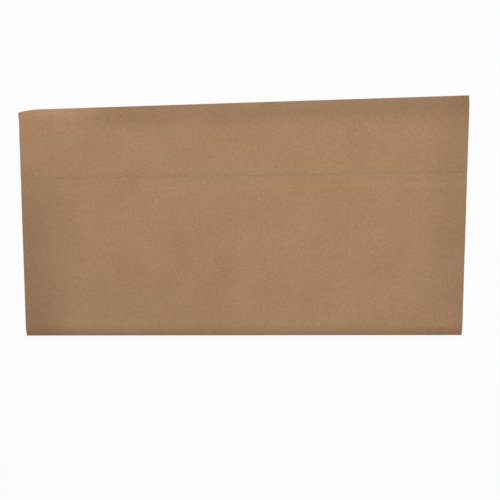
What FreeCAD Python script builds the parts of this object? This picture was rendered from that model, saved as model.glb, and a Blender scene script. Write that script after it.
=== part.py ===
"""A box of corrugated board, knocked down flat: a sleeve of four panels, folded and glued.

Millimetres, +Z up. The flutes and the two folds run along X, and the score nearly so. The box lies
on its back panels, with its folds along the +Y and -Y sides and its raw, knife-cut ends at +X and
-X. The origin is the middle of its footprint.
"""

import FreeCAD
import Part
import Sketcher

import enum
import math
import os

# Driving dimensions: name, value in millimetres (the flank in degrees), what it measures.
DIMENSIONS = [
    ("box_length", 480.0, "along the flutes, from raw end to raw end"),
    ("narrow_panel", 82.4, "fold to score on the front, fold to joint on the back"),
    ("wide_panel", 167.6, "score to fold on the front, joint to fold on the back"),
    ("board_caliper", 4.0, "one wall of board, over both liners"),
    ("liner_caliper", 0.35, "one flat liner"),
    ("medium_caliper", 0.3, "the fluted sheet between the liners"),
    ("flute_pitch", 7.8, "crest to crest of the fluted sheet"),
    ("flank_angle", 54.0, "slope of a flute's side"),
    ("edge_margin", 1.2, "board left between a flute and a score, slope or cut"),
    ("fold_wall", 1.5, "crushed board at a fold"),
    ("fold_slit", 0.5, "gap left inside a fold"),
    ("fold_shoulder", 12.0, "how far in from a fold the board is pressed"),
    ("score_width", 10.7, "flat bottom of the front score"),
    ("score_depth", 0.5, "front score, below the panel"),
    ("score_lip", 0.2, "how far the score's shoulder sinks before its step"),
    ("score_shoulder", 6.0, "soft slope each side of the front score"),
    ("score_step", 0.8, "steep step each side of the score's flat bottom"),
    ("score_drift", 3.1, "how far the score strays to the wide panel, from -X end to +X end"),
    ("bead_width", 4.0, "groove that the score leaves inside the box"),
    ("bead_depth", 1.2, "that groove, into the front wall"),
    ("tab_width", 32.0, "glue tab, from the joint to its cut edge"),
    ("tab_caliper", 1.6, "glue tab, pressed"),
    ("tab_taper", 10.0, "how much shorter each end of the tab is at its cut edge"),
    ("tab_clearance", 0.2, "glue tab to the front wall"),
    ("tab_jog", 4.0, "slope where the tab leaves its panel"),
    ("joint_gap", 2.5, "between the two back panels at the joint"),
    ("joint_round", 1.2, "how far the joint's folded side leans back"),
    ("corner_run", 21.0, "bumped corner, along the fold"),
    ("corner_drop", 2.9, "bumped corner, in from the fold at the raw end"),
]

# Places that follow from the dimensions, as expressions.
PLACES = [
    ("half_width", "(Sizes.narrow_panel + Sizes.wide_panel) / 2"),
    ("half_length", "Sizes.box_length / 2"),
    ("inside_low", "Sizes.board_caliper"),
    ("inside_gap", "Sizes.tab_caliper + Sizes.tab_clearance"),
    ("inside_high", "inside_low + inside_gap"),
    ("flat_height", "inside_high + Sizes.board_caliper"),
    ("middle", "flat_height / 2"),
    # The fold: a small nose, and a large arc that joins it to the flat panel.
    ("nose_radius", "Sizes.fold_wall + Sizes.fold_slit / 2"),
    ("nose_centre", "half_width - nose_radius"),
    ("shoulder_start", "half_width - Sizes.fold_shoulder"),
    (
        "roll_radius",
        "((Sizes.fold_shoulder - nose_radius) ^ 2 + middle ^ 2 - nose_radius ^ 2)"
        " / (2 * (middle - nose_radius))",
    ),
    ("roll_centre", "flat_height - roll_radius"),
    ("roll_angle", "atan2(middle - roll_centre; Sizes.fold_shoulder - nose_radius)"),
    ("slit_end", "half_width - Sizes.fold_wall"),
    ("slit_low", "middle - Sizes.fold_slit / 2"),
    ("slit_high", "middle + Sizes.fold_slit / 2"),
    # The front score and the joint on the back.
    ("score_line", "half_width - Sizes.narrow_panel"),
    ("score_reach", "Sizes.score_width / 2 + Sizes.score_step + Sizes.score_shoulder"),
    ("score_clear", "score_reach + Sizes.score_drift / 2"),
    ("joint_line", "Sizes.narrow_panel - half_width"),
    ("tab_edge", "joint_line - Sizes.tab_width"),
    ("tab_top", "inside_low + Sizes.tab_caliper"),
    # One flute channel: a flat mouth on the liner, two flanks and a round bottom.
    ("flute_depth", "Sizes.board_caliper - 2 * Sizes.liner_caliper - Sizes.medium_caliper"),
    ("flute_rise", "(Sizes.board_caliper - 2 * Sizes.liner_caliper) / 2"),
    (
        "flute_waist",
        "Sizes.flute_pitch / 4 - Sizes.medium_caliper / (2 * sin(Sizes.flank_angle))",
    ),
    ("flute_mouth", "flute_waist + flute_rise / tan(Sizes.flank_angle)"),
    (
        "flute_round",
        "(flute_mouth * tan(Sizes.flank_angle) - flute_depth) / (1 / cos(Sizes.flank_angle) - 1)",
    ),
    # The bumped corner is an arc that leaves the fold smoothly.
    (
        "corner_radius",
        "(Sizes.corner_run ^ 2 + Sizes.corner_drop ^ 2) / (2 * Sizes.corner_drop)",
    ),
    ("corner_start", "Sizes.corner_run - half_length"),
    ("corner_centre", "half_width - corner_radius"),
    ("corner_inner", "corner_radius - Sizes.fold_wall"),
    ("corner_cut", "half_width - Sizes.corner_drop"),
    ("corner_cut_inner", "corner_centre + sqrt(corner_inner ^ 2 - Sizes.corner_run ^ 2)"),
    ("corner_margin", "2 * Sizes.corner_drop"),
]

# Where each wall's flutes may lie, from one side to the other, and the height of the wall's bottom.
FLUTE_RUNS = [
    (
        "front_narrow",
        "Places.score_line + Places.score_clear",
        "Places.shoulder_start",
        "Places.inside_high",
    ),
    (
        "front_wide",
        "-Places.shoulder_start",
        "Places.score_line - Places.score_clear",
        "Places.inside_high",
    ),
    (
        "back_wide",
        "Places.joint_line + Sizes.tab_jog",
        "Places.shoulder_start",
        "0",
    ),
    (
        "back_narrow",
        "-Places.shoulder_start",
        "Places.joint_line - Sizes.joint_gap",
        "0",
    ),
]



class Spot(enum.IntEnum):
    """The places on an edge that a sketch's constraints name."""

    START = 1
    END = 2
    CENTRE = 3


class Fixed(enum.IntEnum):
    """What a sketch holds before anything is drawn: its origin, and the axis across it."""

    ORIGIN = -1
    ACROSS_AXIS = -1


def make_sizes(document):
    """The sheet of driving dimensions, one named plain number a row."""
    sheet = document.addObject("Spreadsheet::Sheet", "Sizes")
    for row, (name, size, meaning) in enumerate(DIMENSIONS, start=1):
        sheet.set(f"A{row}", name)
        sheet.set(f"B{row}", str(size))
        sheet.set(f"C{row}", meaning)
        sheet.setAlias(f"B{row}", name)
    document.recompute()
    return sheet


def make_places(document):
    """The places that follow from the sizes."""
    places = document.addObject("App::VarSet", "Places")
    for name, _ in PLACES:
        places.addProperty("App::PropertyFloat", name, "Places")
    for name, formula in PLACES:
        places.setExpression(name, formula)
    document.recompute()
    return places


def number(thing, expression):
    """What an expression comes to now, as a plain number."""
    found = thing.evalExpression(expression)
    return float(getattr(found, "Value", found))


def plane_of(body, role):
    """One of the body's own origin planes."""
    for feature in body.Origin.OriginFeatures:
        if feature.Role == role:
            return feature
    raise RuntimeError(f"{body.Label} has no {role}")


def make_sketch(body, name, role):
    """An empty sketch on one of the body's origin planes."""
    sketch = body.newObject("Sketcher::SketchObject", name)
    sketch.AttachmentSupport = [(plane_of(body, role), "")]
    sketch.MapMode = "FlatFace"
    return sketch


def bind(sketch, kind, *rest):
    """A dimension of the sketch, held by an expression."""
    *where, expression = rest
    index = sketch.addConstraint(Sketcher.Constraint(kind, *where, number(sketch, expression)))
    sketch.setExpression(f"Constraints[{index}]", expression)


def pin(sketch, edge, end, across, up):
    """Holds one end or centre of an edge at a place."""
    bind(sketch, "DistanceX", Fixed.ORIGIN, Spot.START, edge, end, across)
    bind(sketch, "DistanceY", Fixed.ORIGIN, Spot.START, edge, end, up)


def join(sketch, kind, first, first_end, second, second_end):
    """Joins an end of one edge to an end of another, at a corner or smoothly."""
    sketch.addConstraint(Sketcher.Constraint(kind, first, first_end, second, second_end))


def line_edge(sketch, start, end):
    """A straight edge between two named places."""
    points = [FreeCAD.Vector(number(sketch, x), number(sketch, y), 0) for x, y in (start, end)]
    return sketch.addGeometry(Part.LineSegment(*points))


def straight_outline(sketch, corners):
    """A closed outline of straight edges, with each corner at a named place."""
    following = corners[1:] + corners[:1]
    edges = [line_edge(sketch, start, end) for start, end in zip(corners, following)]
    for edge, after in zip(edges, edges[1:] + edges[:1]):
        join(sketch, "Coincident", edge, Spot.END, after, Spot.START)
    for edge, (across, up) in zip(edges, corners):
        pin(sketch, edge, Spot.START, across, up)


def arc_edge(sketch, centre, radius, first, last):
    """An arc drawn counter-clockwise between two angles in degrees, still free to move."""
    across, up = centre
    middle = FreeCAD.Vector(number(sketch, across), number(sketch, up), 0)
    circle = Part.Circle(middle, FreeCAD.Vector(0, 0, 1), number(sketch, radius))
    angles = [math.radians(number(sketch, angle)) for angle in (first, last)]
    return sketch.addGeometry(Part.ArcOfCircle(circle, *angles))


def pad_folded_board(body):
    """The outside of the folded box: flat front and back, and a rolled fold at each side."""
    sketch = make_sketch(body, "folded_outline", "YZ_Plane")
    surface, middle = "Places.flat_height", "Places.middle"
    right, left = "Places.shoulder_start", "-Places.shoulder_start"
    nose, roll, turn = "Places.nose_radius", "Places.roll_radius", "Places.roll_angle"
    high_roll, low_roll = "Places.roll_centre", f"{surface} - Places.roll_centre"
    nose_right, nose_left = "Places.nose_centre", "-Places.nose_centre"

    bottom = line_edge(sketch, (left, "0"), (right, "0"))
    top = line_edge(sketch, (right, surface), (left, surface))
    right_low = arc_edge(sketch, (right, low_roll), roll, "-90", f"-{turn}")
    right_nose = arc_edge(sketch, (nose_right, middle), nose, f"-{turn}", turn)
    right_high = arc_edge(sketch, (right, high_roll), roll, turn, "90")
    left_high = arc_edge(sketch, (left, high_roll), roll, "90", f"180 - {turn}")
    left_nose = arc_edge(sketch, (nose_left, middle), nose, f"180 - {turn}", f"180 + {turn}")
    left_low = arc_edge(sketch, (left, low_roll), roll, f"180 + {turn}", "270")

    ring = [bottom, right_low, right_nose, right_high, top, left_high, left_nose, left_low]
    for edge, after in zip(ring, ring[1:] + ring[:1]):
        join(sketch, "Tangent", edge, Spot.END, after, Spot.START)
    pin(sketch, right_nose, Spot.CENTRE, nose_right, middle)
    pin(sketch, left_nose, Spot.CENTRE, nose_left, middle)
    bind(sketch, "Radius", right_nose, nose)
    bind(sketch, "Radius", left_nose, nose)
    sketch.addConstraint(Sketcher.Constraint("PointOnObject", bottom, Spot.START, Fixed.ACROSS_AXIS))
    sketch.addConstraint(Sketcher.Constraint("Horizontal", bottom))
    sketch.addConstraint(Sketcher.Constraint("Horizontal", top))
    for edge, start, end in [(bottom, left, right), (top, right, left)]:
        bind(sketch, "DistanceX", Fixed.ORIGIN, Spot.START, edge, Spot.START, start)
        bind(sketch, "DistanceX", Fixed.ORIGIN, Spot.START, edge, Spot.END, end)
    bind(sketch, "DistanceY", Fixed.ORIGIN, Spot.START, top, Spot.START, surface)

    pad = body.newObject("PartDesign::Pad", "folded_board")
    pad.Profile = sketch
    pad.setExpression("Length", "Sizes.box_length")
    pad.Midplane = True
    return pad


def cut_through(body, sketch, name):
    """Cuts a section sketch through the box from raw end to raw end."""
    pocket = body.newObject("PartDesign::Pocket", name)
    pocket.Profile = sketch
    pocket.Type = "ThroughAll"
    pocket.Midplane = True
    return pocket


def cut_inside(body):
    """The flattened inside of the box, with the glue tab on the back."""
    sketch = make_sketch(body, "inside_outline", "YZ_Plane")
    low, high = "Places.inside_low", "Places.inside_high"
    right, left = "Places.shoulder_start", "-Places.shoulder_start"
    straight_outline(
        sketch,
        [
            ("-Places.slit_end", "Places.slit_low"),
            (left, low),
            ("Places.tab_edge", low),
            ("Places.tab_edge", "Places.tab_top"),
            ("Places.joint_line", "Places.tab_top"),
            ("Places.joint_line + Sizes.tab_jog", low),
            (right, low),
            ("Places.slit_end", "Places.slit_low"),
            ("Places.slit_end", "Places.slit_high"),
            (right, high),
            (left, high),
            ("-Places.slit_end", "Places.slit_high"),
        ],
    )
    return cut_through(body, sketch, "inside")


def taper_tab(body):
    """Cuts the glue tab's two ends back at a slant, so that they don't show past the joint."""
    sketch = make_sketch(body, "tab_ends_outline", "XY_Plane")
    sketch.setExpression("AttachmentOffset.Base.z", "Places.tab_top")
    for sign in ("", "-"):
        raw_end, cut_end = "Places.half_length", "(Places.half_length - Sizes.tab_taper)"
        straight_outline(
            sketch,
            [
                (f"{sign}{raw_end}", "Places.joint_line"),
                (f"{sign}{raw_end}", "Places.tab_edge"),
                (f"{sign}{cut_end}", "Places.tab_edge"),
            ],
        )
    pocket = body.newObject("PartDesign::Pocket", "tab_ends")
    pocket.Profile = sketch
    pocket.setExpression("Length", "Sizes.tab_caliper")
    return pocket


def slanted_sketch(body, name):
    """An empty section sketch that faces along the score's slight slant."""
    sketch = make_sketch(body, name, "YZ_Plane")
    upright = FreeCAD.Vector(0, 1, 0)
    slant = "-atan(Sizes.score_drift / Sizes.box_length)"
    turn = FreeCAD.Rotation(upright, number(sketch, slant))
    sketch.AttachmentOffset = FreeCAD.Placement(FreeCAD.Vector(), turn)
    sketch.setExpression("AttachmentOffset.Rotation.Angle", slant)
    return sketch


def cut_bead(body):
    """The groove that the score leaves inside the box, under the front wall."""
    sketch = slanted_sketch(body, "bead_outline")
    high, low = "Places.inside_high + Sizes.bead_depth", "Places.inside_high"
    line, inside = "Places.score_line", "Places.inside_high - Places.inside_gap / 2"
    straight_outline(
        sketch,
        [
            (f"{line} + Sizes.bead_width / 2", inside),
            (f"{line} + Sizes.bead_width / 2", low),
            (f"{line} + Sizes.bead_width / 4", high),
            (f"{line} - Sizes.bead_width / 4", high),
            (f"{line} - Sizes.bead_width / 2", low),
            (f"{line} - Sizes.bead_width / 2", inside),
        ],
    )
    return cut_through(body, sketch, "bead")


def cut_front_score(body):
    """The score across the front: soft shoulders, a step at each side and a flat bottom."""
    sketch = slanted_sketch(body, "score_outline")
    surface = "Places.flat_height"
    lip = f"{surface} - Sizes.score_lip"
    floor = f"{surface} - Sizes.score_depth"
    above = f"{surface} + Sizes.score_depth"
    reach, step = "Places.score_reach", "Sizes.score_width / 2 + Sizes.score_step"
    flat = "Sizes.score_width / 2"
    line = "Places.score_line"
    straight_outline(
        sketch,
        [
            (f"{line} - {reach}", surface),
            (f"{line} - ({step})", lip),
            (f"{line} - {flat}", floor),
            (f"{line} + {flat}", floor),
            (f"{line} + {step}", lip),
            (f"{line} + {reach}", surface),
            (f"{line} + {reach}", above),
            (f"{line} - {reach}", above),
        ],
    )
    return cut_through(body, sketch, "front_score")


def cut_joint(body):
    """The open joint on the back: one panel's raw edge beside the fold of the glue tab."""
    sketch = make_sketch(body, "joint_outline", "YZ_Plane")
    line, raw_edge = "Places.joint_line", "Places.joint_line - Sizes.joint_gap"
    below = "-Sizes.joint_round"
    straight_outline(
        sketch,
        [
            (raw_edge, below),
            (f"{line} + Sizes.joint_round", below),
            (f"{line} + Sizes.joint_round", "0"),
            (line, "Places.inside_low"),
            (raw_edge, "Places.inside_low"),
        ],
    )
    return cut_through(body, sketch, "joint")


def channel_outline(sketch, across, up, points_up):
    """One flute channel: a flat mouth on a liner, two flanks and a round bottom."""
    mouth, round_bottom = "Places.flute_mouth", "Places.flute_round"
    sign = "" if points_up else "-"
    centre_up = f"{up} + {sign}(Places.flute_depth - {round_bottom})"
    half_turn = "Sizes.flank_angle"
    first, last = (f"90 - {half_turn}", f"90 + {half_turn}")
    if not points_up:
        first, last = (f"270 - {half_turn}", f"270 + {half_turn}")
    crest = arc_edge(sketch, (across, centre_up), round_bottom, first, last)
    crest_right, crest_left = (Spot.START, Spot.END) if points_up else (Spot.END, Spot.START)
    reach = f"{round_bottom} * sin({half_turn})"
    rise = f"{centre_up} + {sign}{round_bottom} * cos({half_turn})"
    left_end, right_end = (f"{across} - {mouth}", up), (f"{across} + {mouth}", up)
    mouth_line = line_edge(sketch, left_end, right_end)
    right_flank = line_edge(sketch, right_end, (f"{across} + {reach}", rise))
    left_flank = line_edge(sketch, (f"{across} - {reach}", rise), left_end)
    join(sketch, "Coincident", mouth_line, Spot.END, right_flank, Spot.START)
    join(sketch, "Coincident", left_flank, Spot.END, mouth_line, Spot.START)
    join(sketch, "Tangent", right_flank, Spot.END, crest, crest_right)
    join(sketch, "Tangent", left_flank, Spot.START, crest, crest_left)
    sketch.addConstraint(Sketcher.Constraint("Horizontal", mouth_line))
    pin(sketch, mouth_line, Spot.START, *left_end)
    pin(sketch, crest, Spot.CENTRE, across, centre_up)
    bind(sketch, "DistanceX", mouth_line, Spot.START, mouth_line, Spot.END, f"2 * {mouth}")
    bind(sketch, "Radius", crest, round_bottom)


def cut_flutes(body, name, start, end, bottom):
    """One wall's flutes: a channel on each side of the fluted sheet, repeated at the pitch."""
    pitch = "Sizes.flute_pitch"
    ends = f"2 * (Places.flute_mouth + Sizes.edge_margin) + {pitch} / 2"
    count = f"(floor(({end} - ({start}) - ({ends})) / {pitch}) + 1)"
    sketch = make_sketch(body, f"{name}_outline", "YZ_Plane")
    first = f"({start} + {end}) / 2 - ({count} - 1 / 2) * {pitch} / 2"
    sketch.setExpression("AttachmentOffset.Base.x", first)
    sketch.setExpression("AttachmentOffset.Base.y", bottom)
    channel_outline(sketch, "0", "Sizes.liner_caliper", True)
    inner_liner = "Sizes.board_caliper - Sizes.liner_caliper"
    channel_outline(sketch, f"{pitch} / 2", inner_liner, False)
    flute = cut_through(body, sketch, f"{name}_flute")
    row = body.newObject("PartDesign::LinearPattern", f"{name}_flutes")
    row.Originals = [flute]
    row.Direction = (sketch, ["H_Axis"])
    row.Mode = "Spacing"
    row.setExpression("Offset", pitch)
    row.setExpression("Occurrences", count)
    flute.Refine = False
    row.Refine = False
    body.Tip = row


def corner_arc(sketch, radius):
    """The bumped corner's arc, from where it leaves the fold round to the raw end at -X."""
    centre = ("Places.corner_start", "Places.corner_centre")
    edge = arc_edge(sketch, centre, radius, "90", f"acos(-Sizes.corner_run / {radius})")
    bind(sketch, "DistanceX", Fixed.ORIGIN, Spot.START, edge, Spot.CENTRE, "Places.corner_start")
    return edge


def cut_corner(body):
    """Takes off what the bump at the -X end of the +Y fold has pushed in."""
    sketch = make_sketch(body, "corner_outline", "XY_Plane")
    start, end = "Places.corner_start", "-Places.half_length"
    beyond = "-Places.half_length - Places.corner_margin"
    outside = "Places.half_width + Places.corner_margin"
    corners = [
        (end, "Places.corner_cut"),
        (beyond, "Places.corner_cut"),
        (beyond, outside),
        (start, outside),
        (start, "Places.half_width"),
    ]
    edges = [line_edge(sketch, near, far) for near, far in zip(corners, corners[1:])]
    arc = corner_arc(sketch, "Places.corner_radius")
    ring = edges + [arc]
    for edge, after in zip(ring, ring[1:] + ring[:1]):
        join(sketch, "Coincident", edge, Spot.END, after, Spot.START)
    for edge, (across, up) in zip(ring, corners):
        pin(sketch, edge, Spot.START, across, up)
    pocket = body.newObject("PartDesign::Pocket", "bumped_corner")
    pocket.Profile = sketch
    pocket.Type = "ThroughAll"
    pocket.Midplane = True
    body.Tip = pocket
    return pocket


def close_corner(body):
    """The fold's crushed wall, which follows the bump and keeps the corner closed."""
    sketch = make_sketch(body, "corner_wall_outline", "XY_Plane")
    sketch.setExpression("AttachmentOffset.Base.z", "Places.middle")
    start, end = "Places.corner_start", "-Places.half_length"
    outer = corner_arc(sketch, "Places.corner_radius")
    inner = corner_arc(sketch, "Places.corner_inner")
    raw_side = line_edge(sketch, (end, "Places.corner_cut"), (end, "Places.corner_cut_inner"))
    fold_side = line_edge(sketch, (start, "Places.slit_end"), (start, "Places.half_width"))
    join(sketch, "Coincident", outer, Spot.END, raw_side, Spot.START)
    join(sketch, "Coincident", raw_side, Spot.END, inner, Spot.END)
    join(sketch, "Coincident", inner, Spot.START, fold_side, Spot.START)
    join(sketch, "Coincident", fold_side, Spot.END, outer, Spot.START)
    pin(sketch, raw_side, Spot.START, end, "Places.corner_cut")
    pin(sketch, fold_side, Spot.START, start, "Places.slit_end")
    pin(sketch, fold_side, Spot.END, start, "Places.half_width")
    bind(sketch, "DistanceY", Fixed.ORIGIN, Spot.START, inner, Spot.CENTRE, "Places.corner_centre")
    sketch.addConstraint(Sketcher.Constraint("Vertical", raw_side))
    pad = body.newObject("PartDesign::Pad", "corner_wall")
    pad.Profile = sketch
    pad.setExpression("Length", "Places.inside_gap")
    pad.Midplane = True
    body.Tip = pad
    return pad


def make_box(document):
    """The whole box: one folded and glued blank."""
    body = document.addObject("PartDesign::Body", "flattened_box")
    body.Label = "flattened_box"
    pad_folded_board(body)
    cut_inside(body)
    taper_tab(body)
    cut_bead(body)
    cut_front_score(body)
    cut_joint(body)
    cut_corner(body)
    close_corner(body)
    for name, start, end, bottom in FLUTE_RUNS:
        cut_flutes(body, name, start, end, bottom)
    document.recompute()
    return body


def check(document, parts):
    """Stops with a plain message if any feature failed or a part isn't one valid solid."""
    for thing in document.Objects:
        if "Invalid" in thing.State or "Error" in thing.State:
            raise RuntimeError(f"{thing.Name} failed: {thing.State} {thing.getStatusString()}")
    for part in parts:
        if part.Shape.isNull() or not part.Shape.isValid() or len(part.Shape.Solids) != 1:
            raise RuntimeError(f"{part.Label} isn't one valid solid")


def main():
    """Builds the document, checks it and writes each part's STEP file."""
    document = FreeCAD.newDocument("flattened_box")
    make_sizes(document)
    make_places(document)
    parts = [make_box(document)]
    check(document, parts)
    os.makedirs("parts", exist_ok=True)
    for part in parts:
        part.Shape.exportStep(f"parts/{part.Label}.step")
        box = part.Shape.BoundBox
        print(part.Label, "volume", round(part.Shape.Volume, 1), "box", box)


main()
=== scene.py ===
"""Dresses a box of corrugated board that is knocked down flat.

The blank is one sheet of two liners and the fluted sheet between them. Its section is followed once
round the flat box: from the raw edge at the joint, under the narrow back panel, round the lower
fold, over the front with its pressed score, round the upper fold, under the wide back panel and in
to the cut edge of the glue tab. Metres, in the part's own frame: X along the flutes, Y across the
panels, Z up.
"""

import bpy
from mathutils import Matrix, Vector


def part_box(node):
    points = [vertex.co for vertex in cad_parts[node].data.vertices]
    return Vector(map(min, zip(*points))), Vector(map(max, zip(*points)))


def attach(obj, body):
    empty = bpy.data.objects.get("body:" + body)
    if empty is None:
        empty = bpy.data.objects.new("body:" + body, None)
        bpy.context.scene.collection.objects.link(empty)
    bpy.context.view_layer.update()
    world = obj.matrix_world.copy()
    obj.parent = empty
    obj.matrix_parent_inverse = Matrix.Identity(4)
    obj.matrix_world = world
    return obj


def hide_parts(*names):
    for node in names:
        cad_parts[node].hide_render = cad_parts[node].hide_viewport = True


bl_info = {
    "name": "Flattened box",
    "version": (1, 0, 0),
    "blender": (4, 5, 0),
    "location": "3D View > Sidebar > Flattened box",
    "description": "Liners, flutes, folds, kraft finish and stage of a flattened box",
    "category": "Mesh",
}

import math
from typing import NamedTuple

import bmesh
import bpy
from mathutils import Vector, noise

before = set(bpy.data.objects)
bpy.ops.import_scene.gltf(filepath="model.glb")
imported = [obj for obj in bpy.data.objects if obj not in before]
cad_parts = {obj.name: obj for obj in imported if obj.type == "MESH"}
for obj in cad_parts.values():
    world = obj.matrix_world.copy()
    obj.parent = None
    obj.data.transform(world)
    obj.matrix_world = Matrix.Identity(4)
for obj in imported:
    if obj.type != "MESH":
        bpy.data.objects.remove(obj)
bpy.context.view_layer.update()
NODE = "flattened_box"
BODY = "root"
LOW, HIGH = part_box(NODE)
MM = 0.001

# Steps along the section: on flat stretches, on the folds and on the score
OUTER_STEPS = (4 * MM, 0.8 * MM, 0.4 * MM)
INNER_STEPS = (6 * MM, 1.2 * MM, 0.8 * MM)
STEPS_PER_FLUTE = 12

# Columns along the flutes, and extra ones by each raw end, as shares of the half length
OUTER_COLUMNS = 96
INNER_COLUMNS = 48
FLUTED_COLUMNS = 16
LINER_ENDS = (0.0004, 0.002, 0.006, 0.012)
FLUTED_ENDS = (0.002, 0.004, 0.008, 0.016, 0.03)

# The flutes' shape
FLUTE_PITCH = 7.8 * MM
MEDIUM_CALIPER = 0.3 * MM
SQUARENESS = 0.06

# The glue tab: its glue, and where the slope up to it starts to follow the tab
GLUE = 0.02 * MM
SLOPE_SHARE = 0.7

# How the wear fades: towards a raw end, in height at the bump and in reach round its fold
CUT_FADE = 40
BUMP_KEEPS = 0.8
BUMP_ROLL = 1.3

# How the painted shade fades below the score, and round the painted light that makes the paper paler by the
# bumped corner
END_FADE = 90 * MM
LIGHT_DEPTH = 60 * MM
LIGHT_START = 0.45
LIGHT_FADE = 0.5

# Edges sharper than this stay sharp in the shading
LINER_SHARP = math.radians(50)
FLUTED_SHARP = math.radians(60)

# The light: two lamps, the surroundings, and how white the camera sees the floor
KEY_LAMP = {"place": (0.25, 1.25, 1.6), "aim": (0.03, 0.02, 0.0), "size": 0.6, "power": 29.5}
FILL_LAMP = {"place": (-0.1, -1.7, 0.8), "aim": (0.0, -0.05, 0.0), "size": 0.9, "power": 4.5}
SURROUND = 0.37
FLOOR_WHITE = 0.92
FLOOR_SIZE = 6.0
FLOOR_LEVEL = -0.1 * MM


def length(name, default, description):
    """A size in metres that a user may change."""
    return bpy.props.FloatProperty(
        name=name, description=description, default=default, unit="LENGTH", subtype="DISTANCE"
    )


def share(name, default, description):
    """A share from 0 to 1 that a user may change."""
    return bpy.props.FloatProperty(
        name=name, description=description, default=default, min=0.0, max=1.0, subtype="FACTOR"
    )


def colour(name, default, description):
    """A linear colour that a user may change."""
    return bpy.props.FloatVectorProperty(
        name=name, description=description, default=default, size=3, min=0.0, max=1.0, subtype="COLOR"
    )


class BoardSizes(bpy.types.PropertyGroup):
    """The board and the flat box, as the part's source has them."""

    box_length: length("Box length", HIGH.x - LOW.x, "Raw end to raw end, along the flutes")
    box_width: length("Box width", HIGH.y - LOW.y, "Fold to fold")
    narrow_panel: length("Narrow panel", 82.4 * MM, "Fold to score on the front")
    board_caliper: length("Board caliper", 4.0 * MM, "One wall of board")
    liner_caliper: length("Liner caliper", 0.35 * MM, "One flat liner")
    medium_caliper: length("Medium caliper", MEDIUM_CALIPER, "The fluted sheet")
    flute_pitch: length("Flute pitch", FLUTE_PITCH, "Crest to crest")
    fold_wall: length("Fold wall", 1.5 * MM, "Crushed board at a fold")
    fold_slit: length("Fold slit", 0.5 * MM, "Gap left inside a fold")
    fold_shoulder: length("Fold shoulder", 12 * MM, "How far in from a fold the board is pressed")
    score_width: length("Score width", 10.7 * MM, "Flat bottom of the front score")
    score_depth: length("Score depth", 0.5 * MM, "Front score, below the panel")
    score_lip: length("Score lip", 0.2 * MM, "How far the shoulder sinks before its step")
    score_shoulder: length("Score shoulder", 6 * MM, "Soft slope each side of the score")
    score_step: length("Score step", 0.8 * MM, "Steep step each side of the flat bottom")
    score_drift: length("Score drift", 3.1 * MM, "How far the score strays, raw end to raw end")
    bead_width: length("Bead width", 4 * MM, "Groove that the score leaves inside")
    bead_depth: length("Bead depth", 1.2 * MM, "That groove, into the front wall")
    tab_width: length("Tab width", 32 * MM, "Glue tab, from the joint to its cut edge")
    tab_caliper: length("Tab caliper", 1.6 * MM, "Glue tab, pressed")
    tab_taper: length("Tab taper", 10 * MM, "How much shorter each end of the tab is at its edge")
    tab_clearance: length("Tab clearance", 0.2 * MM, "Glue tab to the front wall")
    tab_jog: length("Tab jog", 4 * MM, "Slope where the tab leaves its panel")
    joint_gap: length("Joint gap", 2.5 * MM, "Between the two back panels")
    joint_round: length("Joint round", 1.2 * MM, "How far the joint's folded side leans back")
    corner_run: length("Corner run", 21 * MM, "Bumped corner, along the fold")
    corner_drop: length("Corner drop", 2.9 * MM, "Bumped corner, in from the fold")
    flank_angle: bpy.props.FloatProperty(
        name="Flank angle", description="Slope of a flute's side", default=math.radians(54), unit="ROTATION"
    )
    edge_margin: length("Edge margin", 1.2 * MM, "Board between a flute and a score, slope or cut")


class WearSizes(bpy.types.PropertyGroup):
    """How the board sags and wrinkles, and how it is cut, crushed and bumped."""

    front_sag: length("Front sag", 0.5 * MM, "How far the front panels sink between their folds")
    sag_patch: length("Sag patch", 95 * MM, "Size of one soft hollow in the front")
    score_soft: length("Score softness", 0.9 * MM, "How far the liner bridges each step of the score")
    wrinkle_height: length("Wrinkle height", 0.05 * MM, "Small buckles along the score")
    wrinkle_patch: length("Wrinkle patch", 9 * MM, "Length of one buckle")
    cut_waver: length("Cut waver", 0.25 * MM, "How unevenly the knife left the raw ends")
    bump_reach: length("Bump reach", 34 * MM, "How far in the bumped corner pushes the board")
    bump_press: length("Bump press", 0.9 * MM, "How far the bumped corner is pressed flat")
    bump_splay: length("Bump splay", 1.7 * MM, "How far the bump pushes the raw end out at its tip")
    flute_crush: share("Flute crush", 0.25, "How much of a flute's height the knife crushed at an end")
    crush_reach: length("Crush reach", 3 * MM, "How far in from an end the flutes are crushed")


class PaintedShadeShares(bpy.types.PropertyGroup):
    """Painted shade and painted light on the paper, as shares of its brightness: shade along the folds, at
    the raw ends and in the corner's tip, light by the bumped corner.
    """

    upper_fold: share("Upper fold", 0.24, "Along the upper fold, but not by the bumped corner")
    lower_fold: share("Lower fold", 0.03, "Along the lower fold")
    left_end: share("End at -X", 0.19, "By the raw end at -X, below the score")
    right_end: share("End at +X", 0.13, "By the raw end at +X")
    # The dark tip is a painted shadow where the fold's open end lies in shade
    corner_tip: share("Corner tip", 0.5, "At the very tip of the bumped corner")
    painted_corner_light: share("Painted corner light", 0.03, "How much paler the paper is by the bumped corner")
    upper_reach: length("Upper fold reach", 33 * MM, "How far in from the upper fold")
    lower_reach: length("Lower fold reach", 24 * MM, "How far in from the lower fold")
    left_reach: length("Reach at -X", 76 * MM, "How far in from the raw end at -X")
    right_reach: length("Reach at +X", 52 * MM, "How far in from the raw end at +X")
    tip_reach: length("Tip reach", 3.5 * MM, "How far in from that tip")
    corner_light_reach: length("Corner light reach", 120 * MM, "How far along the fold from the bumped corner")


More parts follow.
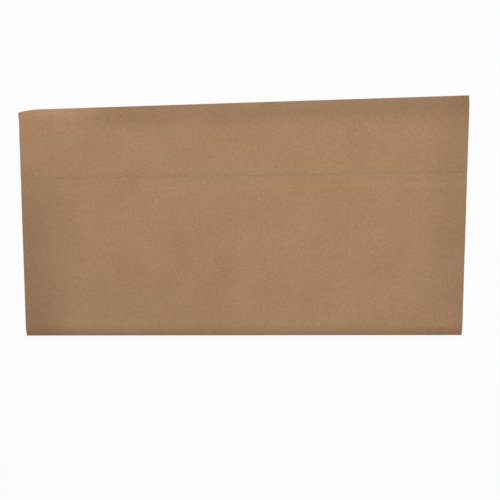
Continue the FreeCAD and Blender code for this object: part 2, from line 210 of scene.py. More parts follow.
class KraftColours(bpy.types.PropertyGroup):
    """The browns of the kraft paper, as linear colours."""

    dark: colour("Dark kraft", (0.328, 0.181, 0.092), "Darkest specks of the liner")
    body: colour("Kraft", (0.386, 0.2245, 0.1215), "The liner's main colour")
    pale: colour("Pale kraft", (0.446, 0.271, 0.155), "Palest fibres of the liner")
    medium: colour("Fluting", (0.285, 0.170, 0.098), "The fluted sheet")
    cut: colour("Cut edge", (0.330, 0.205, 0.122), "Raw paper where the knife went through")


class StageSizes(bpy.types.PropertyGroup):
    """Where the camera and the lamps stand."""

    camera_place: bpy.props.FloatVectorProperty(
        name="Camera place",
        description="High above the box, a little towards +X and -Y",
        default=(56.76 * MM, -10.61 * MM, 1111.59 * MM),
        unit="LENGTH",
        subtype="XYZ",
    )
    camera_turn: bpy.props.FloatVectorProperty(
        name="Camera turn",
        description="The camera looks straight down, but for these small turns",
        default=(math.radians(-8.828), math.radians(7.749), math.radians(-0.876)),
        unit="ROTATION",
        subtype="EULER",
    )
    lens: bpy.props.FloatProperty(
        name="Lens", description="Focal length in millimetres", default=72.0, min=1.0
    )
    aside: bpy.props.FloatProperty(
        name="Aside", description="Sideways shift of the lens, as a share of the frame", default=0.195
    )
    rise: bpy.props.FloatProperty(
        name="Rise", description="Upward shift of the lens, as a share of the frame", default=0.2709
    )


class Station(NamedTuple):
    """One place along the blank's section, as (across, up) points and lengths."""

    outside: tuple
    inside: tuple
    half_length: float
    run: float
    on_front: bool


def mix(low, high, part):
    """The value a part of the way from low to high."""
    return low + (high - low) * part


def between(start, end, part):
    """The point a part of the way from start to end."""
    return tuple(mix(a, b, part) for a, b in zip(start, end))


def ease(part):
    """0 to 1 with a level start and end."""
    part = min(max(part, 0.0), 1.0)
    return part * part * (3.0 - 2.0 * part)


def on_circle(centre, radius, angle):
    """A point of a circle in the section."""
    return (centre[0] + radius * math.cos(angle), centre[1] + radius * math.sin(angle))


class Heights(NamedTuple):
    """Levels and lines of the section that follow from the sizes."""

    inside_low: float
    inside_high: float
    top: float
    middle: float
    half_width: float
    shoulder_start: float
    nose_radius: float
    roll_radius: float
    turn: float
    score_line: float
    score_reach: float
    joint_line: float


def heights(board):
    """Works the section's levels out from the board's sizes."""
    inside_low = board.board_caliper
    inside_high = inside_low + board.tab_caliper + board.tab_clearance
    top = inside_high + board.board_caliper
    middle = top / 2
    half_width = board.box_width / 2
    nose_radius = board.fold_wall + board.fold_slit / 2
    roll_run = board.fold_shoulder - nose_radius
    roll_radius = (roll_run**2 + middle**2 - nose_radius**2) / (2 * (middle - nose_radius))
    return Heights(
        inside_low=inside_low,
        inside_high=inside_high,
        top=top,
        middle=middle,
        half_width=half_width,
        shoulder_start=half_width - board.fold_shoulder,
        nose_radius=nose_radius,
        roll_radius=roll_radius,
        turn=math.atan2(roll_radius - middle, roll_run),
        score_line=half_width - board.narrow_panel,
        score_reach=board.score_width / 2 + board.score_step + board.score_shoulder,
        joint_line=board.narrow_panel - half_width,
    )


def score_dip(board, soft, from_line):
    """How far the pressed score lowers the front, at a distance from the score's own line."""
    away = abs(from_line) - board.score_width / 2 + soft / 2
    step = board.score_step + soft
    if away <= 0:
        return board.score_depth
    if away <= step:
        return mix(board.score_depth, board.score_lip, ease(away / step))
    past = min((away - step) / board.score_shoulder, 1.0)
    return board.score_lip * (1.0 - past) ** 2


def score_bead(board, from_line):
    """How far the score's groove goes up into the front wall from inside."""
    away = abs(from_line) / (board.bead_width / 2)
    return board.bead_depth * ease(2.0 * (1.0 - away))


def wall_at(board, wear, level, station, along, follow):
    """The wall's outside and inside at one place, with the slanting score pressed in."""
    outside, inside = station.outside, station.inside
    if not station.on_front:
        return outside, inside
    drift = -board.score_drift * along / board.box_length
    from_band = abs(outside[0] - level.score_line) - level.score_reach
    moved = drift * follow * ease(1.0 - from_band / level.score_reach)
    from_line = outside[0] + moved - level.score_line - drift
    dip, bead = score_dip(board, wear.score_soft, from_line), score_bead(board, from_line)
    return (outside[0] + moved, outside[1] - dip), (inside[0] + moved, inside[1] + bead)


def fold_legs(board, level):
    """The upper fold's three legs: rolled down from the front, round the nose and rolled under."""
    nose = (level.half_width - level.nose_radius, level.middle)
    slit = board.fold_slit / 2
    slit_end = (level.half_width - board.fold_wall - slit, level.middle)
    front_roll = (level.shoulder_start, level.top - level.roll_radius)
    back_roll = (level.shoulder_start, level.roll_radius)
    quarter = math.pi / 2

    def down(part):
        outside = on_circle(front_roll, level.roll_radius, mix(quarter, level.turn, part))
        start = (level.shoulder_start, level.inside_high)
        return outside, between(start, (slit_end[0], slit_end[1] + slit), part)

    def round_nose(part):
        outside = on_circle(nose, level.nose_radius, mix(level.turn, -level.turn, part))
        return outside, on_circle(slit_end, slit, mix(quarter, -quarter, part))

    def under(part):
        outside = on_circle(back_roll, level.roll_radius, mix(-level.turn, -quarter, part))
        end = (level.shoulder_start, level.inside_low)
        return outside, between((slit_end[0], slit_end[1] - slit), end, part)

    return [down, round_nose, under]


def other_side(leg):
    """The same leg on the lower fold, followed the other way."""

    def mirrored(part):
        outside, inside = leg(1.0 - part)
        return (-outside[0], outside[1]), (-inside[0], inside[1])

    return mirrored


def back_leg(level, start, end):
    """A flat stretch of the back."""
    return lambda part: (
        (mix(start, end, part), 0.0),
        (mix(start, end, part), level.inside_low),
    )


def front_leg(level, start, end):
    """A flat stretch of the front."""
    return lambda part: (
        (mix(start, end, part), level.top),
        (mix(start, end, part), level.inside_high),
    )


def joint_legs(board, level):
    """Where the wide back panel turns up into the glue tab, and the tab itself."""
    tab_top = level.inside_low + board.tab_caliper
    line = level.joint_line
    jog_start = line + board.tab_jog
    heel = (line + board.joint_round, 0.0)
    throat = (line, level.inside_low + GLUE)
    knee = (line - board.joint_round, tab_top)
    slope = between((jog_start, level.inside_low), knee, SLOPE_SHARE)
    edge = line - board.tab_width
    return [
        lambda part: (
            between((jog_start, 0.0), heel, part),
            between((jog_start, level.inside_low), slope, part),
        ),
        lambda part: (between(heel, throat, part), between(slope, knee, part)),
        lambda part: (
            between(throat, (edge, throat[1]), part),
            between(knee, (edge, tab_top), part),
        ),
    ]


def follow_blank(board, flat_step, fine_step, score_step):
    """The stations of the blank's section, from the joint's raw edge round to the tab's edge."""
    level = heights(board)
    start = level.shoulder_start
    score_low = level.score_line - level.score_reach
    score_high = level.score_line + level.score_reach
    raw_edge = level.joint_line - board.joint_gap
    fold = fold_legs(board, level)
    legs = [(back_leg(level, raw_edge, -start), flat_step)]
    legs += [(other_side(leg), fine_step) for leg in reversed(fold)]
    first_front = len(legs)
    legs += [
        (front_leg(level, -start, score_low), flat_step),
        (front_leg(level, score_low, score_high), score_step),
        (front_leg(level, score_high, start), flat_step),
    ]
    last_front = len(legs) - 1
    legs += [(leg, fine_step) for leg in fold]
    legs += [(back_leg(level, start, level.joint_line + board.tab_jog), flat_step)]
    legs += [(leg, fine_step) for leg in joint_legs(board, level)]

    stations = []
    run = 0.0
    before = None
    for number, (leg, step) in enumerate(legs):
        ends = [between(*leg(part), 0.5) for part in (0.0, 0.25, 0.5, 0.75, 1.0)]
        size = sum(math.dist(a, b) for a, b in zip(ends, ends[1:]))
        count = max(2, math.ceil(size / step))
        on_tab = number == len(legs) - 1
        for index in range(0 if number == 0 else 1, count + 1):
            part = index / count
            outside, inside = leg(part)
            centre = between(outside, inside, 0.5)
            run += math.dist(before, centre) if before else 0.0
            before = centre
            taper = board.tab_taper * part if on_tab else 0.0
            on_front = first_front <= number <= last_front
            half_length = board.box_length / 2 - taper
            stations.append(Station(outside, inside, half_length, run, on_front))
    return stations


class FluteRun(NamedTuple):
    """A stretch of wall with whole flutes: from, to, and where its first crest is."""

    start: float
    end: float
    crest: float


def flute_runs(board, level):
    """The four stretches with flutes, as the part has them, in the order of the blank."""
    clear = level.score_reach + board.score_drift / 2
    waist = board.flute_pitch / 4 - board.medium_caliper / (2 * math.sin(board.flank_angle))
    rise = board.board_caliper / 2 - board.liner_caliper
    mouth = waist + rise / math.tan(board.flank_angle)
    ends = 2 * (mouth + board.edge_margin) + board.flute_pitch / 2
    limits = [
        (-level.shoulder_start, level.joint_line - board.joint_gap),
        (-level.shoulder_start, level.score_line - clear),
        (level.score_line + clear, level.shoulder_start),
        (level.joint_line + board.tab_jog, level.shoulder_start),
    ]
    runs = []
    for start, end in limits:
        count = math.floor((end - start - ends) / board.flute_pitch) + 1
        crest = (start + end) / 2 - (count - 0.5) * board.flute_pitch / 2
        runs.append(FluteRun(start, end, crest))
    return runs


def flute_turns(board, stations):
    """How many flutes lie before each station, so that crests fall where the part has them."""
    level = heights(board)
    runs = flute_runs(board, level)
    order = [(runs[0], False, -1), (runs[1], True, 1), (runs[2], True, 1), (runs[3], False, -1)]
    marks = []
    for run, on_front, heading in order:
        flat = [
            station
            for station in stations
            if station.on_front == on_front and station.outside[1] in (0.0, level.top)
        ]
        ends = (run.start, run.end) if heading > 0 else (run.end, run.start)
        for across in ends:
            nearest = min(flat, key=lambda station: abs(station.outside[0] - across))
            place = nearest.run + heading * (across - nearest.outside[0])
            crests = heading * (across - run.crest) / board.flute_pitch
            marks.append([place, crests + (0.25 if on_front else 0.75)])
    for before, after in zip(marks[1::2], marks[2::2]):
        guess = before[1] + (after[0] - before[0]) / board.flute_pitch
        whole = round(guess - after[1])
        for mark in marks[marks.index(after):]:
            mark[1] += whole
    turns = []
    for station in stations:
        pairs = [pair for pair in zip(marks, marks[1:]) if station.run <= pair[1][0]]
        low, high = pairs[0] if pairs else (marks[-2], marks[-1])
        part = (station.run - low[0]) / (high[0] - low[0])
        turns.append(mix(low[1], high[1], part))
    return turns


def columns(count, ends):
    """Shares of the half length from -1 to 1, closer together near the raw ends."""
    steps = [2.0 * index / count - 1.0 for index in range(count + 1)]
    near = [1.0 - away for away in ends]
    return sorted(set(steps + near + [-place for place in near]))


def bump_profile(board, along):
    """How far the bumped corner takes the fold in, at a place along it."""
    past = board.corner_run - board.box_length / 2 - along
    if past <= 0:
        return 0.0
    past = min(past, board.corner_run)
    radius = (board.corner_run**2 + board.corner_drop**2) / (2 * board.corner_drop)
    return radius - math.sqrt(radius**2 - past**2)


def settle(board, wear, level, point):
    """Where a point of the true section comes to rest: sagged, wrinkled and bumped."""
    along, across, up = point
    on_front = ease((up - level.inside_low) / (level.inside_high - level.inside_low))
    from_fold = (level.half_width - abs(across)) / (3 * board.fold_shoulder)
    place = Vector((along, across, 0.0)) / wear.sag_patch
    hollow = 0.5 + 0.5 * noise.noise(place)
    # The sag starts where the fold's shoulder ends
    up -= wear.front_sag * on_front * ease(from_fold - 1 / 3) * hollow

    from_score = 1.0 - abs(across - level.score_line) / (2 * level.score_reach)
    buckle = noise.noise(Vector((along / wear.wrinkle_patch, across / (2 * wear.wrinkle_patch), 7.0)))
    up += wear.wrinkle_height * on_front * ease(from_score) * buckle

    taken = bump_profile(board, along)
    if taken > 0.0:
        near = ease(1.0 - (level.half_width - across) / wear.bump_reach)
        deep = taken / board.corner_drop
        across -= taken * near
        up = mix(up, min(up, level.middle + (up - level.middle) * BUMP_KEEPS), near * deep)
        up -= wear.bump_press * near * deep * on_front
        rolled = ease(1.0 - (level.half_width - across) / (BUMP_ROLL * board.fold_shoulder))
        along -= wear.bump_splay * rolled * deep
    return Vector((along, across, up))


def cut_end(wear, run, seed, side):
    """How far the knife left one layer short of the raw end."""
    fine = noise.noise(Vector((run / (3 * MM), seed, side)))
    return wear.cut_waver * (0.5 + 0.5 * fine)


def toning(board, shade_shares, level, point):
    """How much painted shade darkens and painted light brightens the paper at a point, against plain kraft.
    """
    along, across, up = point
    half_length = board.box_length / 2
    # Painted shade along the folds, at the raw ends and in the corner's tip; painted light by the bumped
    # corner
    from_corner = (half_length + along) / shade_shares.corner_light_reach
    past_corner = ease((from_corner - LIGHT_START) / LIGHT_FADE)
    top = ease(1.0 - (level.half_width - across) / shade_shares.upper_reach) * past_corner
    low = ease(1.0 - (level.half_width + across) / shade_shares.lower_reach)
    below = ease((level.score_line + END_FADE / 2 - across) / END_FADE)
    left = ease(1.0 - (half_length + along) / shade_shares.left_reach) * below
    right = ease(1.0 - (half_length - along) / shade_shares.right_reach)
    lit_patch = (1.0 - past_corner) * ease(1.0 - (level.half_width - across) / LIGHT_DEPTH)
    from_tip = math.hypot(half_length + along, level.half_width - board.corner_drop - across)
    tip = ease(1.0 - from_tip / shade_shares.tip_reach)
    on_front = 1.0 if up > level.middle - board.fold_wall else 0.0
    dark = shade_shares.upper_fold * top + shade_shares.lower_fold * low + shade_shares.corner_tip * tip
    pale = shade_shares.painted_corner_light * lit_patch
    return 1.0 - shade_shares.left_end * left - shade_shares.right_end * right - on_front * (dark - pale)


def sheet_mesh(name, board, wear, stations, shares, faces_of, seed):
    """A closed thin sheet along the blank; faces_of gives its two faces at a station."""
    level = heights(board)
    mesh = bpy.data.meshes.new(name)
    made = bmesh.new()
    rows = []
    for station in stations:
        pair = ([], [])
        for part in shares:
            trim = cut_end(wear, station.run, seed, math.copysign(1.0, part)) * abs(part) ** CUT_FADE
            along = part * (station.half_length - trim)
            wall = wall_at(board, wear, level, station, along, 1.0)
            for row, point in zip(pair, faces_of(*wall)):
                row.append(made.verts.new(settle(board, wear, level, (along, *point))))
        rows.append(pair)
    last = len(shares) - 1
    cut_faces = []
    for (outer, inner), (outer_next, inner_next) in zip(rows, rows[1:]):
        for index in range(last):
            made.faces.new((outer[index], outer[index + 1], outer_next[index + 1], outer_next[index]))
            made.faces.new((inner[index], inner_next[index], inner_next[index + 1], inner[index + 1]))
        for index in (0, last):
            cut_faces.append(
                made.faces.new((outer[index], outer_next[index], inner_next[index], inner[index]))
            )
    for outer, inner in (rows[0], rows[-1]):
        for index in range(last):
            cut_faces.append(
                made.faces.new((outer[index], outer[index + 1], inner[index + 1], inner[index]))
            )
    for face in cut_faces:
        face.material_index = 1
    bmesh.ops.recalc_face_normals(made, faces=made.faces)
    made.to_mesh(mesh)
    made.free()
    # Painted shade and light, as a share per point that scales the liner's colour
    shade_shares = bpy.context.scene.soil_shares
    painted_tones = [toning(board, shade_shares, level, vertex.co) for vertex in mesh.vertices]
    mesh.attributes.new("toning", "FLOAT", "POINT").data.foreach_set("value", painted_tones)
    mesh.shade_smooth()
    mesh.set_sharp_from_angle(angle=LINER_SHARP)
    return mesh


def add_piece(name, mesh, *materials):
    """Puts a finished mesh in the scene as a piece of the box."""
    piece = bpy.data.objects.new(name, mesh)
    bpy.context.scene.collection.objects.link(piece)
    piece.data.materials.clear()
    for material in materials:
        piece.data.materials.append(material)
    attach(piece, BODY)
    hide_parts(NODE)
    return piece


def add_node(tree, kind, place, **settings):
    """A node of the given kind, with its plain settings."""
    node = tree.nodes.new(kind)
    node.location = place
    for name, setting in settings.items():
        setattr(node, name, setting)
    return node


def math_node(tree, operation, place, first, second=None):
    """A Math node fed by sockets or plain numbers; gives its output."""
    node = add_node(tree, "ShaderNodeMath", place, operation=operation)
    for socket, feed in zip(node.inputs, (first, second)):
        if feed is None:
            continue
        if isinstance(feed, bpy.types.NodeSocket):
            tree.links.new(feed, socket)
        else:
            socket.default_value = feed
    return node.outputs[0]


def add_socket(tree, name, kind, in_out="INPUT", default=None):
    """A named socket of a node group."""
    socket = tree.interface.new_socket(name=name, in_out=in_out, socket_type=kind)
    if default is not None:
        socket.default_value = default
    return socket


def fluting_tree():
    """Geometry nodes: waves a flat strip into flutes and gives it the medium's thickness."""
    tree = bpy.data.node_groups.new("Fluting", "GeometryNodeTree")
    add_socket(tree, "Strip", "NodeSocketGeometry")
    add_socket(tree, "Flute pitch", "NodeSocketFloat", default=FLUTE_PITCH)
    add_socket(tree, "Caliper", "NodeSocketFloat", default=MEDIUM_CALIPER)
    add_socket(tree, "Squareness", "NodeSocketFloat", default=SQUARENESS)
    add_socket(tree, "Material", "NodeSocketMaterial")
    add_socket(tree, "Sheet", "NodeSocketGeometry", in_out="OUTPUT")
    start = add_node(tree, "NodeGroupInput", (-900, 0))
    end = add_node(tree, "NodeGroupOutput", (1500, 0))
    strip, pitch, caliper, squareness, material = start.outputs[:5]

    run = add_node(tree, "GeometryNodeInputNamedAttribute", (-900, 300), data_type="FLOAT")
    run.inputs["Name"].default_value = "run"
    reach = add_node(tree, "GeometryNodeInputNamedAttribute", (-900, 450), data_type="FLOAT_VECTOR")
    reach.inputs["Name"].default_value = "reach"

    turns = math_node(tree, "DIVIDE", (-700, 300), run.outputs["Attribute"], pitch)
    phase = math_node(tree, "MULTIPLY", (-550, 300), turns, math.tau)
    wave = math_node(tree, "SINE", (-400, 300), phase)
    third = math_node(tree, "SINE", (-400, 450), math_node(tree, "MULTIPLY", (-550, 450), phase, 3.0))
    flank = math_node(tree, "MULTIPLY", (-250, 450), third, squareness)
    height = math_node(tree, "ADD", (-100, 350), wave, flank)
    crest = math_node(tree, "SUBTRACT", (-250, 200), 1.0, squareness)
    even = math_node(tree, "DIVIDE", (50, 300), height, crest)

    lift = add_node(tree, "ShaderNodeVectorMath", (200, 300), operation="SCALE")
    tree.links.new(reach.outputs["Attribute"], lift.inputs["Vector"])
    tree.links.new(even, lift.inputs["Scale"])
    waved = add_node(tree, "GeometryNodeSetPosition", (350, 0))
    tree.links.new(strip, waved.inputs["Geometry"])
    tree.links.new(lift.outputs["Vector"], waved.inputs["Offset"])

    facing = add_node(tree, "GeometryNodeInputNormal", (350, 200))
    half = math_node(tree, "MULTIPLY", (350, 350), caliper, -0.5)
    back = add_node(tree, "ShaderNodeVectorMath", (500, 300), operation="SCALE")
    tree.links.new(facing.outputs[0], back.inputs["Vector"])
    tree.links.new(half, back.inputs["Scale"])
    lowered = add_node(tree, "GeometryNodeSetPosition", (650, 0))
    tree.links.new(waved.outputs["Geometry"], lowered.inputs["Geometry"])
    tree.links.new(back.outputs["Vector"], lowered.inputs["Offset"])

    thick = add_node(tree, "GeometryNodeExtrudeMesh", (800, 100), mode="FACES")
    thick.inputs["Individual"].default_value = False
    tree.links.new(lowered.outputs["Geometry"], thick.inputs["Mesh"])
    tree.links.new(caliper, thick.inputs["Offset Scale"])
    flipped = add_node(tree, "GeometryNodeFlipFaces", (800, -100))
    tree.links.new(lowered.outputs["Geometry"], flipped.inputs["Mesh"])
    joined = add_node(tree, "GeometryNodeJoinGeometry", (950, 0))
    tree.links.new(thick.outputs["Mesh"], joined.inputs["Geometry"])
    tree.links.new(flipped.outputs["Mesh"], joined.inputs["Geometry"])
    merged = add_node(tree, "GeometryNodeMergeByDistance", (1050, 0))
    merged.inputs["Distance"].default_value = 0.001 * MM
    tree.links.new(joined.outputs["Geometry"], merged.inputs["Geometry"])
    real = add_node(tree, "GeometryNodeRealizeInstances", (1200, 0))
    tree.links.new(merged.outputs["Geometry"], real.inputs["Geometry"])
    dressed = add_node(tree, "GeometryNodeSetMaterial", (1350, 0))
    tree.links.new(real.outputs["Geometry"], dressed.inputs["Geometry"])
    tree.links.new(material, dressed.inputs["Material"])
    tree.links.new(dressed.outputs["Geometry"], end.inputs["Sheet"])
    return tree


def run_tree(mesh, tree, values):
    """Runs a geometry tree on a mesh and gives the result as a plain mesh."""
    holder = bpy.data.objects.new(mesh.name, mesh)
    bpy.context.scene.collection.objects.link(holder)
    modifier = holder.modifiers.new(tree.name, "NODES")
    modifier.node_group = tree
    for item in tree.interface.items_tree:
        if item.item_type == "SOCKET" and item.in_out == "INPUT" and item.name in values:
            modifier[item.identifier] = values[item.name]
    depsgraph = bpy.context.evaluated_depsgraph_get()
    result = bpy.data.meshes.new_from_object(holder.evaluated_get(depsgraph), depsgraph=depsgraph)
    holder.modifiers.remove(modifier)
    bpy.data.objects.remove(holder)
    return result


def medium_strip(board, wear, stations, shares):
    """The middle of the wall as an open strip, with how far a flute may reach either way."""
    level = heights(board)
    mesh = bpy.data.meshes.new("fluted_sheet")
    points = []
    reaches = []
    runs = []
    for station, turn in zip(stations, flute_turns(board, stations)):
        flute = math.floor(turn + 0.25)
        for part in shares:
            along = part * (station.half_length - wear.cut_waver)
            wall = wall_at(board, wear, level, station, along, 0.0)
            outside, inside = (Vector((along, *point)) for point in wall)
            across = outside - inside
            room = across.length - 2 * board.liner_caliper - board.medium_caliper
            reach = across.normalized() * max(room / 2, 0.0)
            centre = (outside + inside) / 2
            from_end = board.box_length / 2 - abs(centre.x)
            lean = noise.cell(Vector((flute, math.copysign(1.0, part), 0.0)))
            crush = wear.flute_crush * lean * math.exp(-from_end / wear.crush_reach)
            points.append(settle(board, wear, level, centre))
            reaches.append(reach * (1.0 - crush))
            runs.append(turn * board.flute_pitch)
    width = len(shares)
    faces = []
    for row in range(len(stations) - 1):
        for column in range(width - 1):
            corner = row * width + column
            faces.append((corner, corner + 1, corner + width + 1, corner + width))
    mesh.from_pydata(points, [], faces)
    mesh.attributes.new("run", "FLOAT", "POINT").data.foreach_set("value", runs)
    flat = [number for reach in reaches for number in reach]
    mesh.attributes.new("reach", "FLOAT_VECTOR", "POINT").data.foreach_set("vector", flat)
    # The fluted sheet gets no painted shade or light
    mesh.attributes.new("toning", "FLOAT", "POINT").data.foreach_set("value", [1.0] * len(points))
    return mesh


def formation_group():
    """Shader group: the cloudy, speckled, fibrous look and feel of kraft paper."""
    tree = bpy.data.node_groups.new("Kraft formation", "ShaderNodeTree")
    add_socket(tree, "Place", "NodeSocketVector")
    add_socket(tree, "Cloud", "NodeSocketFloat", default=0.3)
    add_socket(tree, "Mottle", "NodeSocketFloat", default=0.5)
    add_socket(tree, "Grain", "NodeSocketFloat", default=0.5)
    add_socket(tree, "Tone", "NodeSocketFloat", in_out="OUTPUT")
    add_socket(tree, "Relief", "NodeSocketFloat", in_out="OUTPUT")
    start = add_node(tree, "NodeGroupInput", (-900, 0))
    end = add_node(tree, "NodeGroupOutput", (700, 0))

    def noise_layer(scale, detail, place):
        layer = add_node(tree, "ShaderNodeTexNoise", place)
        layer.inputs["Scale"].default_value = scale
        layer.inputs["Detail"].default_value = detail
        layer.inputs["Roughness"].default_value = 0.6
        tree.links.new(start.outputs["Place"], layer.inputs["Vector"])
        return math_node(tree, "SUBTRACT", (place[0] + 180, place[1]), layer.outputs[0], 0.5)

    cloud = noise_layer(22.0, 2.0, (-650, 300))
    mottle = noise_layer(330.0, 3.0, (-650, 100))
    grain = noise_layer(1500.0, 2.0, (-650, -100))

    stretched = add_node(tree, "ShaderNodeMapping", (-850, -350))
    stretched.inputs["Scale"].default_value = (2600.0, 420.0, 2600.0)
    tree.links.new(start.outputs["Place"], stretched.inputs["Vector"])
    fibres = add_node(tree, "ShaderNodeTexNoise", (-650, -350))
    fibres.inputs["Scale"].default_value = 1.0
    fibres.inputs["Detail"].default_value = 1.0
    tree.links.new(stretched.outputs["Vector"], fibres.inputs["Vector"])
    fibre = math_node(tree, "SUBTRACT", (-450, -350), fibres.outputs[0], 0.5)

    cloudy = math_node(tree, "MULTIPLY", (-250, 300), cloud, start.outputs["Cloud"])
    mottled = math_node(tree, "MULTIPLY", (-250, 100), mottle, start.outputs["Mottle"])
    specks = math_node(tree, "ADD", (-350, -200), grain, fibre)
    grained = math_node(tree, "MULTIPLY", (-250, -100), specks, start.outputs["Grain"])
    fine = math_node(tree, "ADD", (0, 0), mottled, grained)
    tone = math_node(tree, "ADD", (200, 200), cloudy, fine)
    centred = math_node(tree, "ADD", (400, 200), tone, 0.5)
    tree.links.new(centred, end.inputs["Tone"])
    tree.links.new(fine, end.inputs["Relief"])
    return tree


def paper_material(name, colours, formation, *, cloud, mottle, grain, roughness, relief):
    """A kraft paper: three browns ramped over the formation, matt, with a fine tooth."""
    material = bpy.data.materials.new(name)
    material.use_nodes = True
    tree = material.node_tree
    shader = tree.nodes["Principled BSDF"]
    shader.inputs["Roughness"].default_value = roughness
    shader.inputs["Specular IOR Level"].default_value = 0.25
    where = add_node(tree, "ShaderNodeTexCoord", (-900, 0))
    paper = add_node(tree, "ShaderNodeGroup", (-650, 0), node_tree=formation)
    for socket, strength in (("Cloud", cloud), ("Mottle", mottle), ("Grain", grain)):
        paper.inputs[socket].default_value = strength
    tree.links.new(where.outputs["Object"], paper.inputs["Place"])
    ramp = add_node(tree, "ShaderNodeValToRGB", (-350, 100))
    ramp.color_ramp.interpolation = "LINEAR"
    ramp.color_ramp.elements[0].position = 0.0
    ramp.color_ramp.elements[1].position = 1.0
    ramp.color_ramp.elements.new(0.5)
    for element, brown in zip(ramp.color_ramp.elements, colours):
        element.color = (*brown, 1.0)
    tree.links.new(paper.outputs["Tone"], ramp.inputs["Fac"])
    # The colour is scaled by the painted shade and light stored on the mesh
    painted_tones = add_node(tree, "ShaderNodeAttribute", (-350, 350), attribute_name="toning")
    shaded_colour = add_node(tree, "ShaderNodeVectorMath", (-50, 100), operation="SCALE")
    tree.links.new(ramp.outputs["Color"], shaded_colour.inputs["Vector"])
    tree.links.new(painted_tones.outputs["Fac"], shaded_colour.inputs["Scale"])
    tree.links.new(shaded_colour.outputs["Vector"], shader.inputs["Base Color"])
    tooth = add_node(tree, "ShaderNodeBump", (-350, -250))
    tooth.inputs["Strength"].default_value = 1.0
    tooth.inputs["Distance"].default_value = relief
    tree.links.new(paper.outputs["Relief"], tooth.inputs["Height"])
    tree.links.new(tooth.outputs["Normal"], shader.inputs["Normal"])
    return material


def scaled(brown, factor):
    """A brown, lighter or darker."""
    return tuple(channel * factor for channel in brown)


def finishes():
    """The three papers, made once and then found by name."""
    if "liner" not in bpy.data.materials:
        kraft = bpy.context.scene.kraft_colours
        formation = formation_group()
        browns = (tuple(kraft.dark), tuple(kraft.body), tuple(kraft.pale))
        paper_material(
            "liner", browns, formation,
            cloud=0.6, mottle=1.1, grain=1.0, roughness=0.82, relief=0.05 * MM,
        )
        flutes = [scaled(kraft.medium, factor) for factor in (0.8, 1.0, 1.15)]
        paper_material(
            "fluting", flutes, formation,
            cloud=0.3, mottle=1.0, grain=1.0, roughness=0.9, relief=0.06 * MM,
        )
        cuts = [scaled(kraft.cut, factor) for factor in (0.7, 1.0, 1.25)]
        paper_material(
            "cut_paper", cuts, formation,
            cloud=0.2, mottle=1.2, grain=1.6, roughness=0.95, relief=0.12 * MM,
        )
    return [bpy.data.materials[name] for name in ("liner", "fluting", "cut_paper")]


class BOX_OT_outer_liner(bpy.types.Operator):
    """Makes the outer liner, all round the flat box and in over the glue tab"""

    bl_idname = "flat_box.outer_liner"
    bl_label = "Outer liner"

    def execute(self, context):
        board, wear = context.scene.board_sizes, context.scene.wear_sizes
        liner, _, cut = finishes()
        stations = follow_blank(board, *OUTER_STEPS)

        def faces_of(outside, inside):
            depth = math.dist(outside, inside)
            return outside, between(outside, inside, board.liner_caliper / depth)

        shares = columns(OUTER_COLUMNS, LINER_ENDS)
        mesh = sheet_mesh("outer_liner", board, wear, stations, shares, faces_of, seed=1.0)
        add_piece("outer_liner", mesh, liner, cut)
        return {"FINISHED"}


class BOX_OT_inner_liner(bpy.types.Operator):
    """Makes the inner liner, which faces the flattened inside of the box"""

    bl_idname = "flat_box.inner_liner"
    bl_label = "Inner liner"

    def execute(self, context):
        board, wear = context.scene.board_sizes, context.scene.wear_sizes
        liner, _, cut = finishes()
        stations = follow_blank(board, *INNER_STEPS)

        def faces_of(outside, inside):
            depth = math.dist(outside, inside)
            return between(inside, outside, board.liner_caliper / depth), inside

        shares = columns(INNER_COLUMNS, LINER_ENDS)
        mesh = sheet_mesh("inner_liner", board, wear, stations, shares, faces_of, seed=2.0)
        add_piece("inner_liner", mesh, liner, cut)
        return {"FINISHED"}


class BOX_OT_fluted_sheet(bpy.types.Operator):
    """Makes the fluted sheet between the liners, crushed flat at the folds and the score"""

    bl_idname = "flat_box.fluted_sheet"
    bl_label = "Fluted sheet"

    def execute(self, context):
        board, wear = context.scene.board_sizes, context.scene.wear_sizes
        _, fluting, _ = finishes()
        step = board.flute_pitch / STEPS_PER_FLUTE
        stations = follow_blank(board, step, step, step)
        shares = columns(FLUTED_COLUMNS, FLUTED_ENDS)
        strip = medium_strip(board, wear, stations, shares)
        values = {
            "Flute pitch": board.flute_pitch,
            "Caliper": board.medium_caliper,
            "Squareness": SQUARENESS,
            "Material": fluting,
        }
        mesh = run_tree(strip, fluting_tree(), values)
        mesh.shade_smooth()
        mesh.set_sharp_from_angle(angle=FLUTED_SHARP)
        add_piece("fluted_sheet", mesh, fluting)
        return {"FINISHED"}


def floor_material():
    """A pale floor that the camera sees as white, but for the box's own shadow."""
    material = bpy.data.materials.new("floor")
    material.use_nodes = True
    tree = material.node_tree
    shader = tree.nodes["Principled BSDF"]
    shader.inputs["Base Color"].default_value = (0.8, 0.8, 0.8, 1.0)
    shader.inputs["Roughness"].default_value = 1.0
    shader.inputs["Specular IOR Level"].default_value = 0.0
    white = add_node(tree, "ShaderNodeEmission", (0, -300))
    white.inputs["Color"].default_value = (1.0, 1.0, 1.0, 1.0)
    rays = add_node(tree, "ShaderNodeLightPath", (-400, 200))
    camera, glossy = rays.outputs["Is Camera Ray"], rays.outputs["Is Glossy Ray"]
    direct = math_node(tree, "MAXIMUM", (-300, 200), camera, glossy)
    seen = math_node(tree, "MULTIPLY", (-200, 200), direct, FLOOR_WHITE)
    blend = add_node(tree, "ShaderNodeMixShader", (200, 0))
    tree.links.new(seen, blend.inputs["Fac"])
    tree.links.new(shader.outputs[0], blend.inputs[1])
    tree.links.new(white.outputs[0], blend.inputs[2])
    tree.links.new(blend.outputs[0], tree.nodes["Material Output"].inputs["Surface"])
    return material


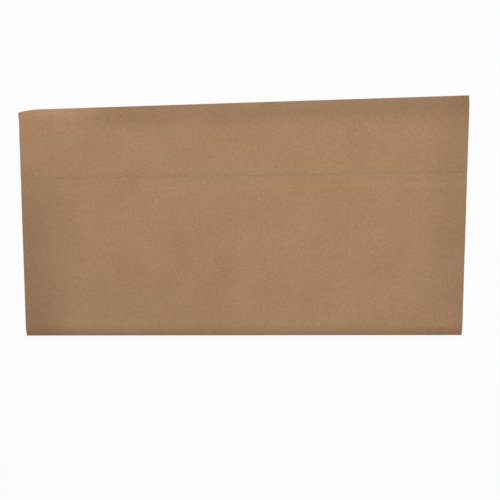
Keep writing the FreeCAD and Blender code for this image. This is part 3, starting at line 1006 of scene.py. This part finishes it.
def add_floor():
    """The plain floor, a hair under the box so that the two faces never share a plane."""
    mesh = bpy.data.meshes.new("floor")
    turns = ((-1, -1), (1, -1), (1, 1), (-1, 1))
    corners = [(x * FLOOR_SIZE, y * FLOOR_SIZE, FLOOR_LEVEL) for x, y in turns]
    mesh.from_pydata(corners, [], [(0, 1, 2, 3)])
    mesh.materials.append(floor_material())
    floor = bpy.data.objects.new("floor", mesh)
    bpy.context.scene.collection.objects.link(floor)


def add_lamp(name, place, aim, size, power):
    """A soft square lamp that looks at a place on the box."""
    light = bpy.data.lights.new(name, "AREA")
    light.shape = "SQUARE"
    light.size = size
    light.energy = power
    lamp = bpy.data.objects.new(name, light)
    lamp.location = place
    lamp.rotation_euler = (Vector(aim) - Vector(place)).to_track_quat("-Z", "Y").to_euler()
    bpy.context.scene.collection.objects.link(lamp)
    return lamp


def add_world():
    """An even pale surrounding, white to the camera."""
    world = bpy.data.worlds.new("surround")
    bpy.context.scene.world = world
    world.use_nodes = True
    tree = world.node_tree
    around = tree.nodes["Background"]
    around.inputs["Color"].default_value = (1.0, 1.0, 1.0, 1.0)
    around.inputs["Strength"].default_value = SURROUND
    white = add_node(tree, "ShaderNodeBackground", (0, -200))
    white.inputs["Color"].default_value = (1.0, 1.0, 1.0, 1.0)
    rays = add_node(tree, "ShaderNodeLightPath", (-300, 200))
    blend = add_node(tree, "ShaderNodeMixShader", (200, 0))
    tree.links.new(rays.outputs["Is Camera Ray"], blend.inputs["Fac"])
    tree.links.new(around.outputs[0], blend.inputs[1])
    tree.links.new(white.outputs[0], blend.inputs[2])
    tree.links.new(blend.outputs[0], tree.nodes["World Output"].inputs["Surface"])


def add_camera(stage):
    """The camera, nearly straight above the box."""
    data = bpy.data.cameras.new("camera")
    data.lens = stage.lens
    data.shift_x = stage.aside
    data.shift_y = stage.rise
    camera = bpy.data.objects.new("camera", data)
    camera.location = stage.camera_place
    camera.rotation_euler = stage.camera_turn
    bpy.context.scene.collection.objects.link(camera)
    bpy.context.scene.camera = camera


class BOX_OT_stage(bpy.types.Operator):
    """Sets the pale floor, the soft lamps and the camera"""

    bl_idname = "flat_box.stage"
    bl_label = "Stage"

    def execute(self, context):
        add_floor()
        add_world()
        add_lamp("key", **KEY_LAMP)
        add_lamp("fill", **FILL_LAMP)
        add_camera(context.scene.stage_sizes)
        context.scene.view_settings.view_transform = "Standard"
        return {"FINISHED"}


class BOX_PT_sidebar(bpy.types.Panel):
    """Lists the sizes, the browns and the steps"""

    bl_label = "Flattened box"
    bl_idname = "BOX_PT_sidebar"
    bl_space_type = "VIEW_3D"
    bl_region_type = "UI"
    bl_category = "Flattened box"

    def draw(self, context):
        for group in (name for name, _ in GROUPS):
            settings = getattr(context.scene, group)
            box = self.layout.box()
            box.label(text=type(settings).__name__)
            for name in type(settings).__annotations__:
                box.prop(settings, name)
        for step in STEPS:
            self.layout.operator(step.bl_idname)


GROUPS = [
    ("board_sizes", BoardSizes),
    ("wear_sizes", WearSizes),
    ("soil_shares", PaintedShadeShares),
    ("kraft_colours", KraftColours),
    ("stage_sizes", StageSizes),
]
STEPS = [BOX_OT_outer_liner, BOX_OT_inner_liner, BOX_OT_fluted_sheet, BOX_OT_stage]


def register():
    """Adds the settings, the steps and the panel."""
    for name, group in GROUPS:
        bpy.utils.register_class(group)
        setattr(bpy.types.Scene, name, bpy.props.PointerProperty(type=group))
    for step in STEPS:
        bpy.utils.register_class(step)
    bpy.utils.register_class(BOX_PT_sidebar)


def unregister():
    """Takes them away again."""
    bpy.utils.unregister_class(BOX_PT_sidebar)
    for step in reversed(STEPS):
        bpy.utils.unregister_class(step)
    for name, group in reversed(GROUPS):
        delattr(bpy.types.Scene, name)
        bpy.utils.unregister_class(group)


def main():
    register()
    bpy.ops.flat_box.outer_liner()
    bpy.ops.flat_box.inner_liner()
    bpy.ops.flat_box.fluted_sheet()
    bpy.ops.flat_box.stage()


if __name__ == "__main__":
    main()
